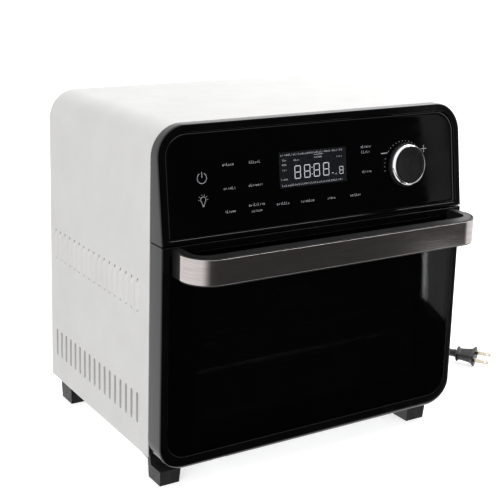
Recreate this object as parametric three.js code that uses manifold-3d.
// A countertop toaster oven with a drop-down glass door, a leaning touch panel with one rotary knob, and a
// fan and ring heater under the cavity ceiling.
// Millimetres, +X to the right, +Y towards the back, +Z up. The oven is drawn with y = 0 at the housing's
// front edge and z = 0 on the counter, and the whole group is then moved so that the origin is the middle of
// the footprint.
import * as THREE from 'three';
import { mergeVertices } from 'three/addons/utils/BufferGeometryUtils.js';
import Module from 'manifold-3d';

const wasm = await Module();
wasm.setup();

// ---- Driving dimensions ----
const GAP = 0.3;                    // clearance between pieces that touch on the real oven
const WIDTH = 360;
const HOUSING_DEPTH = 234;
const HOUSING_BOTTOM = 25;          // height of the housing's lower edge above the counter
const HOUSING_TOP = 349;
const SHEET = 1.2;                  // housing, base and rear sheet metal
const CORNER = 30;                  // radius of the housing's two top edges
const HALF = WIDTH / 2;

const SLOT_COUNT = 17;              // vent slots in each band
const SLOT_PITCH = 12.2;
const SLOT_WIDTH = 4.4;
const SLOT_FIRST_Y = 23;
const SLOT_BANDS = [[52, 83], [165, 198]];

const FRONT_DEPTH = 24;             // how far the door and the panel stand in front of the housing
const SPLIT_Z = 240;                // line between the door and the panel
const SPLIT_GAP = 1.2;
const LEAN = THREE.MathUtils.degToRad(7.5);
const PANEL_WALL = 5;
const SIDE_WALL = 3;
const RIM = 8;                      // frame left showing around the touch panel and the door glass
const LOWER_RIM = 14;               // the door's lower rail is taller, to hold the hinges
const PANEL_DIP = 0.4;              // the touch panel sits this far below the rim

const DOOR_BOTTOM = 16;
const DOOR_CORNER = 28;
const DOOR_REAR = -1.2;
const GLASS = 3;
const HINGE_Y = -17;                // hinge axis, inside the door's lower rail
const HINGE_Z = 23;
const HINGE_X = 104;                // inner face of each hinge eye
const PIN_RADIUS = 2.5;
const RUNNING_FIT = 0.3;

const HANDLE_FRONT = -70;
const HANDLE_HALF = 171;
const HANDLE_LOW = 212;
const HANDLE_HIGH = 238;
const HANDLE_MIDDLE = (HANDLE_LOW + HANDLE_HIGH) / 2;
const HANDLE_CORNER = 28;
const TRIM = 1.2;                   // thickness of the metal strip around the handle
const HANDLE_SCREW_X = 165.5;

const CAVITY_HALF = 149;            // inside half-width of the cooking cavity
const CAVITY_LOW = 43;
const CAVITY_HIGH = 235;
const CAVITY_FRONT = 3.6;
const CAVITY_REAR = 213;
const LINER = 1;

const FAN_Y = 105;
const FAN_RADIUS = 55;
const SHAFT_RADIUS = 3;
const RING_HEATER_RADIUS = 74;
const RING_HEATER_Z = 226;
const RING_HEATER_END = 9;          // half the distance between the element's two ends
const GUARD_RADIUS = 90;
const GUARD_Z = 214;
const ROD_RADIUS = 3.25;
const LOWER_ROD_Z = 64;
const LOWER_ROD_Y = { front: 65, rear: 150 };

const RACK_Z = 96;
const RUNNER_LEVELS = [93, 119, 145, 171];
const WIRE_COUNT = 12;              // spaces between the rack's wires

const LAMP_X = 100;
const LAMP_Z = 188;

const KNOB_X = 104;
const KNOB_UP = 50.4;               // measured up the panel's slope from its lower edge
const KNOB_RADIUS = 22.5;
const ENCODER_SHAFT = 3;

const CORD_RADIUS = 3.5;
const CORD_EXIT = new THREE.Vector3(130, 262, 56);
const COIL_RADIUS = 35;
const COIL_CENTRE = new THREE.Vector2(95, 334);
const COIL_TURNS = 2.75;
const COIL_PITCH = 7.2;
const REAR_PANEL_Y = 228;

// ---- Materials ----
const finish = (color, roughness, metalness, opacity = 1) => new THREE.MeshStandardMaterial({
  color, roughness, metalness, opacity, transparent: opacity < 1,
});
const paint = {
  white: finish(0xe6e5e3, 0.35, 0.0),
  blackGloss: finish(0x0b0b0c, 0.12, 0.0),
  blackMatte: finish(0x151515, 0.6, 0.0),
  panelGlass: finish(0x050506, 0.05, 0.0),
  display: finish(0x2c3136, 0.3, 0.0),
  doorGlass: finish(0x101113, 0.04, 0.0, 0.35),
  clearGlass: finish(0xdfe6e8, 0.05, 0.0, 0.35),
  darkSteel: finish(0x3a3434, 0.3, 1.0),
  steel: finish(0xa9abad, 0.35, 1.0),
  zinc: finish(0x9b9ea1, 0.45, 1.0),
  chrome: finish(0xe6e8ea, 0.08, 1.0),
  heater: finish(0x4c4a47, 0.5, 0.8),
  board: finish(0x1e5a35, 0.5, 0.0),
  ceramic: finish(0xe8e4da, 0.6, 0.0),
  rubber: finish(0x141414, 0.8, 0.0),
  cord: finish(0x111112, 0.55, 0.0),
  nickel: finish(0xb8a890, 0.25, 1.0),
};

// ---- Shape helpers ----
const AXES_YZX = new THREE.Matrix4().set(0, 0, 1, 0, 1, 0, 0, 0, 0, 1, 0, 0, 0, 0, 0, 1);

function solidOf(geometry) {
  const bare = geometry.clone();
  bare.deleteAttribute('normal');
  bare.deleteAttribute('uv');
  const merged = mergeVertices(bare, 1e-4);
  return new wasm.Manifold(new wasm.Mesh({
    numProp: 3,
    vertProperties: new Float32Array(merged.attributes.position.array),
    triVerts: new Uint32Array(merged.index.array),
  }));
}

function geometryOf(solid) {
  const mesh = solid.getMesh();
  const geometry = new THREE.BufferGeometry();
  geometry.setAttribute('position', new THREE.BufferAttribute(new Float32Array(mesh.vertProperties), 3));
  geometry.setIndex(new THREE.BufferAttribute(new Uint32Array(mesh.triVerts), 1));
  return geometry;
}

function cut(base, ...tools) {
  return geometryOf(tools.reduce((solid, tool) => solid.subtract(solidOf(tool)), solidOf(base)));
}

function join(base, ...others) {
  return geometryOf(others.reduce((solid, other) => solid.add(solidOf(other)), solidOf(base)));
}

function common(base, other) {
  return geometryOf(solidOf(base).intersect(solidOf(other)));
}

function box(x0, x1, y0, y1, z0, z1) {
  const geometry = new THREE.BoxGeometry(x1 - x0, y1 - y0, z1 - z0);
  return geometry.translate((x0 + x1) / 2, (y0 + y1) / 2, (z0 + z1) / 2);
}

function outline(points) {
  return new THREE.Shape(points.map(([u, v]) => new THREE.Vector2(u, v)));
}

// A rectangle whose lower and upper corners have their own radii.
function roundedRectangle(left, right, low, high, lowRadius, highRadius) {
  const shape = new THREE.Shape();
  shape.moveTo(left + lowRadius, low);
  shape.lineTo(right - lowRadius, low);
  if (lowRadius > 0) shape.absarc(right - lowRadius, low + lowRadius, lowRadius, -Math.PI / 2, 0);
  shape.lineTo(right, high - highRadius);
  if (highRadius > 0) shape.absarc(right - highRadius, high - highRadius, highRadius, 0, Math.PI / 2);
  shape.lineTo(left + highRadius, high);
  if (highRadius > 0) shape.absarc(left + highRadius, high - highRadius, highRadius, Math.PI / 2, Math.PI);
  shape.lineTo(left, low + lowRadius);
  if (lowRadius > 0) shape.absarc(left + lowRadius, low + lowRadius, lowRadius, Math.PI, Math.PI * 1.5);
  return shape;
}

// three.js splits every arc of a shape into twice its curveSegments.
function extrude(shape, depth, arcSteps) {
  return new THREE.ExtrudeGeometry(shape, { depth, steps: 1, bevelEnabled: false, curveSegments: arcSteps / 2 });
}

// An outline drawn in (x, z), swept from y0 back to y1.
function sweepY(shape, y0, y1, arcSteps = 6) {
  return extrude(shape, y1 - y0, arcSteps).rotateX(Math.PI / 2).translate(0, y1, 0);
}

// An outline drawn in (y, z), swept from x0 to x1.
function sweepX(shape, x0, x1, arcSteps = 6) {
  return extrude(shape, x1 - x0, arcSteps).applyMatrix4(AXES_YZX).translate(x0, 0, 0);
}

// An outline drawn in (x, y), swept from z0 up to z1.
function sweepZ(shape, z0, z1, arcSteps = 6) {
  return extrude(shape, z1 - z0, arcSteps).translate(0, 0, z0);
}

function cylinder(radius, length, sides = 16) {
  return new THREE.CylinderGeometry(radius, radius, length, sides);
}

function rodX(radius, x0, x1, y, z, sides = 16) {
  return cylinder(radius, x1 - x0, sides).rotateZ(Math.PI / 2).translate((x0 + x1) / 2, y, z);
}

function rodY(radius, y0, y1, x, z, sides = 16) {
  return cylinder(radius, y1 - y0, sides).translate(x, (y0 + y1) / 2, z);
}

function rodZ(radius, z0, z1, x, y, sides = 16) {
  return cylinder(radius, z1 - z0, sides).rotateX(Math.PI / 2).translate(x, y, (z0 + z1) / 2);
}

// A turned piece: (radius, height) pairs, from low to high on the outside, about the local Y axis.
function turned(profile, sides = 24) {
  return new THREE.LatheGeometry(profile.map(([r, h]) => new THREE.Vector2(r, h)), sides);
}

function turnedUp(profile, sides) {
  return turned(profile, sides).rotateX(Math.PI / 2);
}

function tube(curve, radius, sides, steps) {
  const section = new THREE.Shape();
  section.absarc(0, 0, radius, 0, Math.PI * 2);
  return new THREE.ExtrudeGeometry(section, { steps, extrudePath: curve, curveSegments: sides / 2 });
}

function smooth(points) {
  return new THREE.CatmullRomCurve3(points.map((p) => new THREE.Vector3(...p)), false, 'centripetal');
}

// ---- The assembly ----
const oven = new THREE.Group();
oven.position.y = -(HANDLE_FRONT + HOUSING_DEPTH) / 2;

// Pieces of the control panel are drawn flat and upright in a group that leans back: local y runs inwards
// from the panel's face and local z runs up its slope.
const leaning = new THREE.Group();
leaning.position.set(0, -FRONT_DEPTH, SPLIT_Z);
leaning.rotation.x = -LEAN;
leaning.updateMatrix();
oven.add(leaning);

function add(parent, name, material, geometry) {
  const mesh = new THREE.Mesh(geometry, material);
  mesh.name = name;
  parent.add(mesh);
  return mesh;
}

const sides = [['left', -1], ['right', 1]];

// ---- Housing ----
// An upright slot in the (y, z) plane with pointed ends.
function slotOutline(y, low, high) {
  const r = SLOT_WIDTH / 2;
  return outline([
    [y, low], [y + r, low + r], [y + r, high - r], [y, high], [y - r, high - r], [y - r, low + r],
  ]);
}

function ventSlots(x0, x1) {
  const slots = [];
  for (const [low, high] of SLOT_BANDS) {
    for (let i = 0; i < SLOT_COUNT; i += 1) {
      slots.push(sweepX(slotOutline(SLOT_FIRST_Y + i * SLOT_PITCH, low, high), x0, x1));
    }
  }
  return slots;
}

function housingShell() {
  const outer = roundedRectangle(-HALF, HALF, HOUSING_BOTTOM, HOUSING_TOP, 0, CORNER);
  const inner = roundedRectangle(-HALF + SHEET, HALF - SHEET, HOUSING_BOTTOM - 1, HOUSING_TOP - SHEET,
    0, CORNER - SHEET);
  return cut(
    sweepY(outer, 0, HOUSING_DEPTH),
    sweepY(inner, -1, HOUSING_DEPTH + 1),
    ...ventSlots(-HALF - 1, -HALF + SHEET + 1),
    ...ventSlots(HALF - SHEET - 1, HALF + 1),
  );
}

const INSIDE = HALF - SHEET - GAP;   // half-width of the plates that fit inside the housing

function rearPanel() {
  const shape = roundedRectangle(-INSIDE, INSIDE, HOUSING_BOTTOM + 2, HOUSING_TOP - SHEET - GAP,
    0, CORNER - SHEET - GAP);
  const slots = [];
  for (let row = 0; row < 2; row += 1) {
    for (let i = 0; i < 12; i += 1) {
      const x = -110 + i * 20;
      const z = 262 + row * 34;
      slots.push(box(x - 2.5, x + 2.5, REAR_PANEL_Y - 1, REAR_PANEL_Y + 3, z, z + 26));
    }
  }
  const cordHole = rodY(8.3, REAR_PANEL_Y - 1, REAR_PANEL_Y + 3, CORD_EXIT.x, CORD_EXIT.z);
  return cut(sweepY(shape, REAR_PANEL_Y, REAR_PANEL_Y + SHEET), cordHole, ...slots);
}

function basePlate() {
  const plate = box(-INSIDE, INSIDE, 3, REAR_PANEL_Y - GAP, HOUSING_BOTTOM, HOUSING_BOTTOM + SHEET);
  const slots = [];
  for (let i = 0; i < 8; i += 1) {
    const y = 60 + i * 14;
    slots.push(box(-45, 45, y - 2.5, y + 2.5, HOUSING_BOTTOM - 1, HOUSING_BOTTOM + 3));
  }
  return cut(plate, ...slots);
}

add(oven, 'housing_shell', paint.white, housingShell());
add(oven, 'rear_panel', paint.zinc, rearPanel());
add(oven, 'base_plate', paint.zinc, basePlate());

// ---- Cooking cavity ----
function cavityLiner() {
  const outerHalf = CAVITY_HALF + LINER;
  const holes = [
    rodZ(5, CAVITY_HIGH - 1, CAVITY_HIGH + 2, 0, FAN_Y),
    rodZ(2.4, CAVITY_HIGH - 1, CAVITY_HIGH + 2, 112, 180),
    rodY(12, CAVITY_REAR - 1, CAVITY_REAR + 2, LAMP_X, LAMP_Z),
  ];
  for (const x of [-RING_HEATER_END, RING_HEATER_END]) {
    holes.push(rodZ(5.5, CAVITY_HIGH - 1, CAVITY_HIGH + 2, x, FAN_Y + RING_HEATER_RADIUS));
  }
  for (const y of Object.values(LOWER_ROD_Y)) {
    holes.push(rodX(4.2, -outerHalf - 1, outerHalf + 1, y, LOWER_ROD_Z));
  }
  return cut(
    box(-outerHalf, outerHalf, CAVITY_FRONT, CAVITY_REAR + LINER, CAVITY_LOW - LINER, CAVITY_HIGH + LINER),
    box(-CAVITY_HALF, CAVITY_HALF, CAVITY_FRONT - 1, CAVITY_REAR, CAVITY_LOW, CAVITY_HIGH),
    ...holes,
  );
}

function cavityFrontFlange() {
  return cut(
    box(-INSIDE, INSIDE, 2, CAVITY_FRONT - GAP, HOUSING_BOTTOM + SHEET + GAP, SPLIT_Z),
    box(-CAVITY_HALF - GAP, CAVITY_HALF + GAP, 1, CAVITY_FRONT, CAVITY_LOW - GAP, CAVITY_HIGH + GAP),
  );
}

// A folded strip with one inward ledge for each shelf position; mirror is -1 on the left wall.
function rackRunner(mirror) {
  const wall = CAVITY_HALF - GAP;
  const points = [[wall, 80], [wall, 205], [wall - 1, 205]];
  for (const level of [...RUNNER_LEVELS].reverse()) {
    points.push([wall - 1, level], [139, level], [139, level - 1], [wall - 1, level - 1]);
  }
  points.push([wall - 1, 80]);
  const mirrored = points.map(([x, z]) => [mirror * x, z]);
  if (mirror > 0) mirrored.reverse();
  return sweepY(outline(mirrored), 10, 200);
}

function wireRack() {
  const half = 143;
  const front = 12;
  const rear = 198;
  const wire = 1.25;
  const wires = [];
  for (const x of [-half, half]) wires.push(rodY(2, front - 2, rear + 2, x, RACK_Z, 6));
  for (const y of [rear, (front + rear) / 2]) wires.push(rodX(2, -half, half, y, RACK_Z, 6));
  for (let i = 1; i < WIRE_COUNT; i += 1) {
    const x = -half + (i * 2 * half) / WIRE_COUNT;
    wires.push(rodY(wire, front, rear, x, RACK_Z + 1, 6));
  }
  return join(rodX(2, -half, half, front, RACK_Z, 6), ...wires);
}

function crumbTray() {
  return join(
    cut(box(-140, 140, 8, 205, CAVITY_LOW + GAP, CAVITY_LOW + 8), box(-139, 139, 9, 204, CAVITY_LOW + 1.3, 60)),
    box(-30, 30, 6, 8.5, CAVITY_LOW + 7, CAVITY_LOW + 8),
  );
}

add(oven, 'cavity_liner', paint.steel, cavityLiner());
add(oven, 'cavity_front_flange', paint.steel, cavityFrontFlange());
for (const [side, mirror] of sides) add(oven, `rack_runner_${side}`, paint.steel, rackRunner(mirror));
add(oven, 'wire_rack', paint.chrome, wireRack());
add(oven, 'crumb_tray', paint.steel, crumbTray());

// ---- Heating and air ----
// One turn of sheathed element under the ceiling; both ends turn up through the ceiling at the back.
function ringHeater() {
  const start = Math.PI / 2 + RING_HEATER_END / RING_HEATER_RADIUS;
  const sweep = Math.PI * 2 - (2 * RING_HEATER_END) / RING_HEATER_RADIUS;
  const points = [];
  const end = (angle) => [
    RING_HEATER_RADIUS * Math.cos(angle), FAN_Y + RING_HEATER_RADIUS * Math.sin(angle),
  ];
  points.push([...end(start), CAVITY_HIGH + 14], [...end(start), CAVITY_HIGH - 2]);
  for (let i = 1; i < 24; i += 1) {
    points.push([...end(start + (sweep * i) / 24), RING_HEATER_Z]);
  }
  points.push([...end(start + sweep), CAVITY_HIGH - 2], [...end(start + sweep), CAVITY_HIGH + 14]);
  return tube(smooth(points), ROD_RADIUS, 8, 36);
}

// A round plate with radial slots, which keeps fingers off the fan and the ring heater.
function heaterGuard() {
  const slots = [];
  for (let i = 0; i < 12; i += 1) {
    slots.push(box(24, 80, -3, 3, GUARD_Z - 1, GUARD_Z + 2).rotateZ((i * Math.PI) / 6).translate(0, FAN_Y, 0));
  }
  return cut(rodZ(GUARD_RADIUS, GUARD_Z, GUARD_Z + 1, 0, FAN_Y, 24), ...slots);
}

// The hoop that holds the guard plate below the ceiling.
function guardRim() {
  const low = GUARD_Z + 1 + GAP;
  const high = CAVITY_HIGH - GAP;
  const inner = GUARD_RADIUS - 1;
  return turnedUp([
    [inner, low], [GUARD_RADIUS, low], [GUARD_RADIUS, high], [inner, high], [inner, low],
  ], 24).translate(0, FAN_Y, 0);
}

function lowerHeater(y) {
  return rodX(ROD_RADIUS, -160, 160, y, LOWER_ROD_Z, 8);
}

const CEILING_TOP = CAVITY_HIGH + LINER;
const BRIDGE_Z = CEILING_TOP + 15;

// A bridge over the cooling fan that carries the motor.
function motorBracket() {
  const bridge = cut(
    box(-56, 56, FAN_Y - 25, FAN_Y + 25, CEILING_TOP + GAP, BRIDGE_Z),
    box(-54.5, 54.5, FAN_Y - 26, FAN_Y + 26, CEILING_TOP, BRIDGE_Z - 1.5),
  );
  return cut(bridge, rodZ(6, BRIDGE_Z - 3, BRIDGE_Z + 1, 0, FAN_Y));
}

function fanMotor() {
  const low = BRIDGE_Z + GAP;
  return turnedUp([
    [0, low + 12], [SHAFT_RADIUS + 0.4, low + 12], [SHAFT_RADIUS + 0.4, low], [30, low], [30, low + 34],
    [22, low + 40], [0, low + 40],
  ], 20).translate(0, FAN_Y, 0);
}

function bladedWheel(discZ, hubLow, hubHigh, bladeLow, bladeHigh, radius, bladeCount) {
  const wheel = [rodZ(7, hubLow, hubHigh, 0, 0, 12)];
  for (let i = 0; i < bladeCount; i += 1) {
    const blade = box(radius * 0.45, radius - 1, -0.6, 0.6, bladeLow, bladeHigh);
    wheel.push(blade.rotateZ((i * 2 * Math.PI) / bladeCount));
  }
  const bore = rodZ(SHAFT_RADIUS + GAP, hubLow - 1, hubHigh + 1, 0, 0, 12);
  return cut(join(rodZ(radius, discZ, discZ + 1, 0, 0, 24), ...wheel), bore).translate(0, FAN_Y, 0);
}

const rotorLow = GUARD_Z + 5;
add(oven, 'ring_heater', paint.heater, ringHeater());
add(oven, 'heater_guard', paint.steel, heaterGuard());
add(oven, 'guard_rim', paint.steel, guardRim());
for (const [place, y] of Object.entries(LOWER_ROD_Y)) {
  add(oven, `lower_heater_${place}`, paint.heater, lowerHeater(y));
}
add(oven, 'motor_bracket', paint.zinc, motorBracket());
add(oven, 'fan_motor', paint.zinc, fanMotor());
add(oven, 'convection_fan', paint.zinc,
  bladedWheel(CAVITY_HIGH - 5, rotorLow, CAVITY_HIGH - 2, rotorLow + 1, CAVITY_HIGH - 4.5, FAN_RADIUS, 10));
add(oven, 'cooling_fan', paint.zinc,
  bladedWheel(CEILING_TOP + 2, CEILING_TOP + 2, BRIDGE_Z - 3, CEILING_TOP + 2.5, BRIDGE_Z - 4, 46, 10));
add(oven, 'motor_shaft', paint.steel, rodZ(SHAFT_RADIUS, rotorLow - 2, BRIDGE_Z + 11, 0, FAN_Y));

// ---- Lamp, sensors and electronics ----
function lampLens() {
  const face = CAVITY_REAR - GAP;
  return turned([
    [0, 0], [12, 1.5], [19, 8], [20, face - 199], [17, face - 199], [16.5, 9], [11, 3.8], [0, 2.5],
  ], 20).translate(LAMP_X, 199, LAMP_Z);
}

function lampSocket() {
  return turned([[0, 0], [8, 0], [8, 8], [9, 8], [9, 16], [0, 16]], 12).translate(LAMP_X, 210, LAMP_Z);
}

function lampBulb() {
  return turned([[0, 0], [3, 0.6], [4.5, 2.6], [4.5, 6], [0, 6]], 12).translate(LAMP_X, 203.5, LAMP_Z);
}

function thermalCutout() {
  return turnedUp([[0, 0], [10, 0], [10, 3], [7, 3], [7, 10], [0, 10]], 12).translate(92, 50, CEILING_TOP + GAP);
}

// The mains board: a plate with its relay, filter choke and capacitor as plain blocks.
function powerBoard() {
  const top = 258;
  return join(
    box(-165, -82, 40, 170, top - 1.6, top),
    box(-158, -138, 50, 78, top - 0.5, top + 18),
    box(-130, -104, 52, 84, top - 0.5, top + 24),
    rodZ(9, top - 0.5, top + 26, -146, 104, 12),
    box(-124, -96, 104, 126, top - 0.5, top + 14),
    box(-160, -92, 146, 160, top - 0.5, top + 11),
  );
}

add(oven, 'lamp_lens', paint.clearGlass, lampLens());
add(oven, 'lamp_socket', paint.ceramic, lampSocket());
add(oven, 'lamp_bulb', paint.clearGlass, lampBulb());
add(oven, 'temperature_probe', paint.steel, rodZ(2, 218, 248, 112, 180, 8));
add(oven, 'thermal_cutout', paint.blackMatte, thermalCutout());
add(oven, 'power_board', paint.board, powerBoard());
add(oven, 'board_shield', paint.zinc, box(-148, 148, 12, 13, SPLIT_Z + 4, HOUSING_TOP - 5));

// ---- Control panel ----
const PANEL_TOP_Z = HOUSING_TOP;
const PANEL_LOW_Z = SPLIT_Z + SPLIT_GAP / 2;
const SLOPE = (PANEL_TOP_Z - SPLIT_Z) / Math.cos(LEAN);
const TOUCH_LOW = 5;
const TOUCH_HIGH = SLOPE - RIM;
const DISPLAY = { left: -54, right: 31.5, low: 37.5, high: 79 };

// The solid between the leaning face, moved inwards by inset, and the plane y = rear.
function leaningWedge(inset, rear, low, high) {
  const face = (z) => -FRONT_DEPTH + inset + (z - SPLIT_Z) * Math.tan(LEAN);
  return sweepX(outline([[face(low), low], [rear, low], [rear, high], [face(high), high]]), -HALF - 1, HALF + 1);
}

function onSlope(geometry) {
  return geometry.applyMatrix4(leaning.matrix);
}

function touchOutline(clearance) {
  const half = HALF - RIM + clearance;
  return roundedRectangle(-half, half, TOUCH_LOW - clearance, TOUCH_HIGH + clearance, 2, CORNER - RIM);
}

function controlPanelHousing() {
  const shell = common(
    sweepY(roundedRectangle(-HALF, HALF, PANEL_LOW_Z, PANEL_TOP_Z, 0, CORNER), -FRONT_DEPTH - 1, -0.5),
    leaningWedge(0, 0, PANEL_LOW_Z - 1, PANEL_TOP_Z + 1),
  );
  const hollow = common(
    sweepY(roundedRectangle(-HALF + SIDE_WALL, HALF - SIDE_WALL, PANEL_LOW_Z + SIDE_WALL,
      PANEL_TOP_Z - SIDE_WALL, 0, CORNER - SIDE_WALL), -FRONT_DEPTH, 1),
    leaningWedge(PANEL_WALL, 2, PANEL_LOW_Z, PANEL_TOP_Z),
  );
  return cut(
    shell,
    hollow,
    onSlope(sweepY(touchOutline(GAP), -3, PANEL_DIP + 1.8 + GAP)),
    onSlope(box(DISPLAY.left - GAP, DISPLAY.right + GAP, -1, 9, DISPLAY.low - GAP, DISPLAY.high + GAP)),
    onSlope(rodY(4.5, -1, 9, KNOB_X, KNOB_UP)),
  );
}

function touchPanel() {
  return cut(sweepY(touchOutline(0), PANEL_DIP, PANEL_DIP + 1.8), rodY(4.5, -1, 4, KNOB_X, KNOB_UP));
}

function rotaryEncoder() {
  const body = box(KNOB_X - 6, KNOB_X + 6, 5.6, 9.4, KNOB_UP - 6, KNOB_UP + 6);
  return cut(
    join(body, rodY(4, PANEL_DIP, 6, KNOB_X, KNOB_UP, 12)),
    rodY(ENCODER_SHAFT + GAP, 0, 8.6, KNOB_X, KNOB_UP, 12),
  );
}

// Heights here run outwards from the panel's face, so the turned pieces are flipped to point at the user.
function outwards(geometry) {
  return geometry.rotateX(Math.PI).translate(KNOB_X, 0, KNOB_UP);
}

function knobBody() {
  const seat = KNOB_RADIUS - 4.1;
  return outwards(turned([
    [0, 6.5], [ENCODER_SHAFT + GAP, 6.5], [ENCODER_SHAFT + GAP, 1.2], [KNOB_RADIUS, 1.2],
    [KNOB_RADIUS - 0.2, 5.5], [seat, 5.5], [seat, 9.4], [0, 9.4],
  ], 24));
}

function knobRing() {
  const inner = KNOB_RADIUS - 3.8;
  return outwards(turned([
    [inner, 5.8], [KNOB_RADIUS - 0.3, 5.8], [KNOB_RADIUS - 0.9, 8.2], [KNOB_RADIUS - 3.2, 10], [inner, 10],
    [inner, 5.8],
  ], 24));
}

add(oven, 'control_panel_housing', paint.blackGloss, controlPanelHousing());
add(leaning, 'touch_panel', paint.panelGlass, touchPanel());
add(leaning, 'display_module', paint.display,
  box(DISPLAY.left, DISPLAY.right, PANEL_DIP + 1.8 + GAP, 9.2, DISPLAY.low, DISPLAY.high));
add(leaning, 'control_board', paint.board, box(-150, 140, 9.7, 11.3, 20, 88));
add(leaning, 'rotary_encoder', paint.zinc, rotaryEncoder());
add(leaning, 'encoder_shaft', paint.zinc, rodY(ENCODER_SHAFT, -6.2, 7.4, KNOB_X, KNOB_UP, 12));
add(leaning, 'knob_body', paint.blackMatte, knobBody());
add(leaning, 'knob_ring', paint.chrome, knobRing());

// ---- Door ----
const NOTCH = 5.4;                   // half-size of the pocket around each hinge eye
const DOOR_TOP = SPLIT_Z - SPLIT_GAP / 2;
const WINDOW = { half: 140, low: 50, high: 218 };

// The door's cross-section: its lower front edge is round about the hinge axis, so it clears the counter.
function doorSection() {
  const radius = HINGE_Z - DOOR_BOTTOM;
  const section = new THREE.Shape();
  section.moveTo(DOOR_REAR, DOOR_BOTTOM);
  section.lineTo(DOOR_REAR, DOOR_TOP);
  section.lineTo(-FRONT_DEPTH, DOOR_TOP);
  section.lineTo(-FRONT_DEPTH, HINGE_Z);
  section.absarc(HINGE_Y, HINGE_Z, radius, Math.PI, Math.PI * 1.5);
  return sweepX(section, -HALF - 1, HALF + 1, 6);
}

function hingePocket(mirror) {
  const span = (near, far) => (mirror > 0 ? [near, far] : [-far, -near]);
  const pocket = box(...span(HINGE_X - 0.6, HINGE_X + 16), HINGE_Y - NOTCH, 1, DOOR_BOTTOM - 2, HINGE_Z + NOTCH);
  const bore = rodX(PIN_RADIUS + RUNNING_FIT, ...span(HINGE_X - 8, HINGE_X + 24), HINGE_Y, HINGE_Z);
  return [pocket, bore];
}

function doorFrame() {
  const body = common(
    sweepY(roundedRectangle(-HALF, HALF, DOOR_BOTTOM, DOOR_TOP, DOOR_CORNER, 0), -FRONT_DEPTH - 1, 1),
    doorSection(),
  );
  const glassPocket = doorGlassOutline(GAP);
  const screws = sides.flatMap(([, mirror]) => [
    rodY(2.4, -FRONT_DEPTH, 1, mirror * HANDLE_SCREW_X, HANDLE_MIDDLE, 12),
    rodY(4.3, -6.2, 1, mirror * HANDLE_SCREW_X, HANDLE_MIDDLE, 12),
  ]);
  return cut(
    body,
    sweepY(glassPocket, -FRONT_DEPTH - 2, -FRONT_DEPTH + 0.5 + GLASS + GAP),
    box(-WINDOW.half, WINDOW.half, -FRONT_DEPTH, 1, WINDOW.low, WINDOW.high),
    box(-152, 152, -5.8, 1, 40, 228),
    ...hingePocket(1),
    ...hingePocket(-1),
    ...screws,
  );
}

function doorGlassOutline(clearance) {
  const half = HALF - RIM + clearance;
  return roundedRectangle(-half, half, DOOR_BOTTOM + LOWER_RIM - clearance, DOOR_TOP - RIM + clearance,
    DOOR_CORNER - RIM, 2);
}

function doorGlassOuter() {
  const front = -FRONT_DEPTH + 0.5;
  const holes = sides.map(([, mirror]) => rodY(5, front - 1, front + 4, mirror * HANDLE_SCREW_X, HANDLE_MIDDLE, 12));
  return cut(sweepY(doorGlassOutline(0), front, front + GLASS), ...holes);
}

function doorInnerPanel() {
  return cut(
    box(-151.7, 151.7, -2.2, DOOR_REAR, 40.3, 227.7),
    box(-136, 136, -3, 0, 54, 214),
  );
}

add(oven, 'door_frame', paint.blackGloss, doorFrame());
add(oven, 'door_glass_outer', paint.doorGlass, doorGlassOuter());
add(oven, 'door_glass_inner', paint.doorGlass, box(-151.7, 151.7, -5.5, -2.5, 40.3, 227.7));
add(oven, 'door_inner_panel', paint.steel, doorInnerPanel());

// ---- Handle ----
// The plan of a bar with two round corners whose ends point back at the door.
function handlePlan(half, front, radius, arm, bar, innerRadius, back) {
  const plan = new THREE.Shape();
  plan.moveTo(-half, back);
  plan.lineTo(-half, front + radius);
  plan.absarc(-half + radius, front + radius, radius, Math.PI, Math.PI * 1.5);
  plan.lineTo(half - radius, front);
  plan.absarc(half - radius, front + radius, radius, Math.PI * 1.5, Math.PI * 2);
  plan.lineTo(half, back);
  plan.lineTo(half - arm, back);
  plan.lineTo(half - arm, front + bar + innerRadius);
  plan.absarc(half - arm - innerRadius, front + bar + innerRadius, innerRadius, 0, -Math.PI / 2, true);
  plan.lineTo(-half + arm + innerRadius, front + bar);
  plan.absarc(-half + arm + innerRadius, front + bar + innerRadius, innerRadius, -Math.PI / 2, -Math.PI, true);
  plan.lineTo(-half + arm, back);
  return plan;
}

const TRIM_BACK = -41;               // the metal strip stops here, short of the door

function handleCore() {
  const dip = 0.4;
  const arm = 10;
  const plan = handlePlan(HANDLE_HALF - dip, HANDLE_FRONT + dip, HANDLE_CORNER - dip, arm - dip, 14 - dip, 10,
    -FRONT_DEPTH);
  const groove = TRIM + GAP;
  const channel = handlePlan(HANDLE_HALF + 1, HANDLE_FRONT - 1, HANDLE_CORNER + 1, groove + 1, groove + 1,
    HANDLE_CORNER - groove, TRIM_BACK + GAP);
  const screwHoles = sides.map(([, mirror]) => (
    rodY(2.4, -38, -FRONT_DEPTH + 1, mirror * HANDLE_SCREW_X, HANDLE_MIDDLE, 12)));
  return cut(
    sweepZ(plan, HANDLE_LOW, HANDLE_HIGH, 6),
    sweepZ(channel, HANDLE_LOW + 1 - GAP, HANDLE_HIGH - 1 + GAP, 6),
    ...screwHoles,
  );
}

function handleTrim() {
  const plan = handlePlan(HANDLE_HALF, HANDLE_FRONT, HANDLE_CORNER, TRIM, TRIM, HANDLE_CORNER - TRIM, TRIM_BACK);
  return sweepZ(plan, HANDLE_LOW + 1, HANDLE_HIGH - 1, 6);
}

function handleScrew(mirror) {
  return turned([[0, 0], [2, 0], [2, 29.5], [3.8, 29.5], [3.8, 31.5], [2.5, 32.5], [0, 32.5]], 12)
    .translate(mirror * HANDLE_SCREW_X, -35.4, HANDLE_MIDDLE);
}

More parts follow.
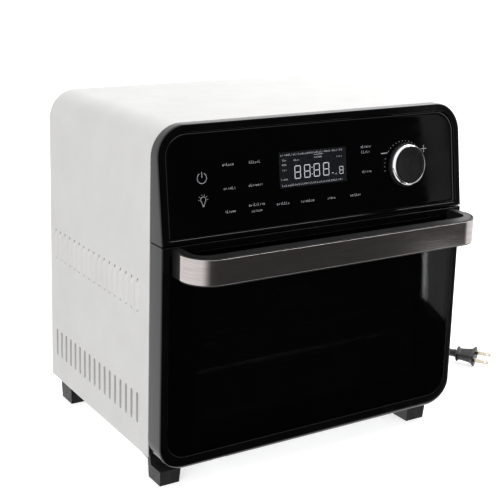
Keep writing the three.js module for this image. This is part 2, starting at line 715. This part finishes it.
add(oven, 'handle_core', paint.blackMatte, handleCore());
add(oven, 'handle_trim', paint.darkSteel, handleTrim());
for (const [side, mirror] of sides) add(oven, `handle_screw_${side}`, paint.zinc, handleScrew(mirror));

// ---- Door hinges ----
function hingeBracket(mirror) {
  const span = (near, far) => (mirror > 0 ? [near, far] : [-far, -near]);
  const [x0, x1] = span(HINGE_X, HINGE_X + 5);
  const top = HOUSING_BOTTOM - GAP;
  const eye = rodX(4.6, x0, x1, HINGE_Y, HINGE_Z, 20);
  const arm = box(x0, x1, HINGE_Y, 32, HINGE_Z - 4, top);
  const foot = box(...span(HINGE_X, HINGE_X + 20), 8, 32, top - 2.5, top);
  return cut(join(eye, arm, foot), rodX(PIN_RADIUS + GAP, x0 - 1, x1 + 1, HINGE_Y, HINGE_Z));
}

function hingePin(mirror) {
  const ends = [mirror * (HINGE_X - 7.5), mirror * (HINGE_X + 23)].sort((a, b) => a - b);
  return rodX(PIN_RADIUS, ends[0], ends[1], HINGE_Y, HINGE_Z, 12);
}

// A small torsion spring wound on the pin beside the eye.
function hingeSpring(mirror) {
  const turns = 4;
  const points = [];
  for (let i = 0; i <= turns * 8; i += 1) {
    const angle = (i * Math.PI) / 4;
    const x = mirror * (HINGE_X + 6.5 + (i * 8) / (turns * 8));
    points.push([x, HINGE_Y + 3.9 * Math.cos(angle), HINGE_Z + 3.9 * Math.sin(angle)]);
  }
  return tube(smooth(points), 0.55, 6, turns * 8);
}

for (const [side, mirror] of sides) {
  add(oven, `hinge_bracket_${side}`, paint.zinc, hingeBracket(mirror));
  add(oven, `hinge_pin_${side}`, paint.steel, hingePin(mirror));
  add(oven, `hinge_spring_${side}`, paint.steel, hingeSpring(mirror));
}

// ---- Feet ----
const FOOT_HEIGHT = HOUSING_BOTTOM - GAP;
const FOOT_SPREAD = 0.12;            // how much wider a foot is at its top than on the counter

// Each foot narrows towards the counter. The front feet reach forward under the door, so their front part
// is lower than the door's edge, and a tongue behind takes the screw.
function foot(x, y, halfWidth, section) {
  const geometry = sweepX(outline(section), -halfWidth, halfWidth);
  const position = geometry.attributes.position;
  for (let i = 0; i < position.count; i += 1) {
    const grow = 1 + (FOOT_SPREAD * position.getZ(i)) / FOOT_HEIGHT;
    position.setX(i, position.getX(i) * grow);
  }
  return geometry.translate(x, y, 0);
}

const frontSection = [
  [-11.5, 0], [11.5, 0], [12, 19], [34, 21], [34, FOOT_HEIGHT], [7, FOOT_HEIGHT], [6, 15.2], [-13, 15.2],
];
const rearSection = [[-12.5, 0], [12.5, 0], [14, FOOT_HEIGHT], [-14, FOOT_HEIGHT]];
add(oven, 'foot_front_left', paint.rubber, foot(-164, -3.5, 10.5, frontSection));
add(oven, 'foot_front_right', paint.rubber, foot(142.5, -3.5, 11.5, frontSection));
add(oven, 'foot_rear_left', paint.rubber, foot(-163, 209, 10, rearSection));
add(oven, 'foot_rear_right', paint.rubber, foot(142.5, 209, 10, rearSection));

// ---- Mains cord ----
// The cord leaves a strain relief low on the right of the back, drops to the counter, makes a small round
// coil there, and runs round the oven's right rear corner to its plug.
function strainRelief() {
  const start = REAR_PANEL_Y - 4;
  const end = CORD_EXIT.y - GAP - start;
  return turned([
    [0, 0], [10, 0], [10, 3.6], [8, 3.6], [8, 5.6], [11, 5.6], [11, 8.5], [8, 9.5], [5.2, end], [0, end],
  ], 16).translate(CORD_EXIT.x, start, CORD_EXIT.z);
}

const COIL_TOP = CORD_RADIUS + 0.1 + COIL_TURNS * COIL_PITCH;
const dropRoute = [
  [130, 262, 56],
  [130, 270, 55.5],
  [130, 278, 53.5],
  [130, 286, 49.6],
  [130, 294, 44.4],
  [130, 302, 38.8],
  [130, 310, 34],
  [130, 315, 31.4],
];

function coil() {
  const inner = COIL_RADIUS - CORD_RADIUS - GAP;
  const outer = COIL_RADIUS + CORD_RADIUS + GAP;
  const top = COIL_TOP + CORD_RADIUS;
  return turnedUp([
    [inner + 1.5, 0.1], [outer - 1.5, 0.1], [outer, 1.6], [outer, top - 1.5], [outer - 1.5, top],
    [inner + 1.5, top], [inner, top - 1.5], [inner, 1.6], [inner + 1.5, 0.1],
  ], 24).translate(COIL_CENTRE.x, COIL_CENTRE.y, 0);
}

const plugRoute = [
  [119.2, 299.6, 3.6],
  [128, 300, 3.6],
  [138, 300, 3.6],
  [152, 300, 3.6],
  [168, 298, 3.6],
  [184, 294, 3.6],
  [200, 287, 3.6],
  [215, 277, 3.6],
  [229, 264, 3.6],
  [241, 249, 3.6],
  [251, 232, 3.6],
  [259, 214, 3.7],
  [264.5, 195, 4],
  [269, 176, 4.8],
  [273.5, 157, 6],
  [278.5, 138, 7.5],
  [285, 119, 9.2],
  [293.1, 101.9, 10.3],
];

add(oven, 'strain_relief', paint.rubber, strainRelief());
add(oven, 'cord_drop', paint.cord, tube(smooth(dropRoute), CORD_RADIUS, 8, 8));
add(oven, 'cord_coil', paint.cord, coil());
add(oven, 'cord_run', paint.cord, tube(smooth(plugRoute), CORD_RADIUS, 8, 20));

// ---- Plug ----
// Drawn along local +X, blades forward, then turned to lie on the counter leaning on its flanges.
const plug = new THREE.Group();
plug.position.set(300.8, 88.6, 10.8);
plug.rotation.set(THREE.MathUtils.degToRad(29), THREE.MathUtils.degToRad(-2), -Math.PI / 3, 'ZYX');
oven.add(plug);

function across(width, thickness, radius) {
  return roundedRectangle(-width / 2, width / 2, -thickness / 2, thickness / 2, radius, radius);
}

// A flat slab of the plug standing across its axis, from x0 to x1.
function slab(width, thickness, radius, x0, x1) {
  return sweepX(across(width, thickness, radius), x0, x1, 4);
}

function plugBody() {
  const boot = turned([[0, 0], [4.4, 0], [4.8, 16], [0, 16]], 10).rotateZ(-Math.PI / 2).translate(-15, 0, 0);
  return join(
    slab(17, 11, 4, 1, 22),
    slab(19, 13, 5, 0, 2.5),
    slab(24.5, 17, 6, 21, 23.5),
    boot,
  );
}

function plugBlade(y) {
  return cut(
    box(23.8, 41, y - 0.75, y + 0.75, -3.15, 3.15),
    rodY(1.6, y - 2, y + 2, 37, 0, 10),
  );
}

add(plug, 'plug_body', paint.cord, plugBody());
add(plug, 'plug_blade_near', paint.nickel, plugBlade(-6.35));
add(plug, 'plug_blade_far', paint.nickel, plugBlade(6.35));

export default oven;
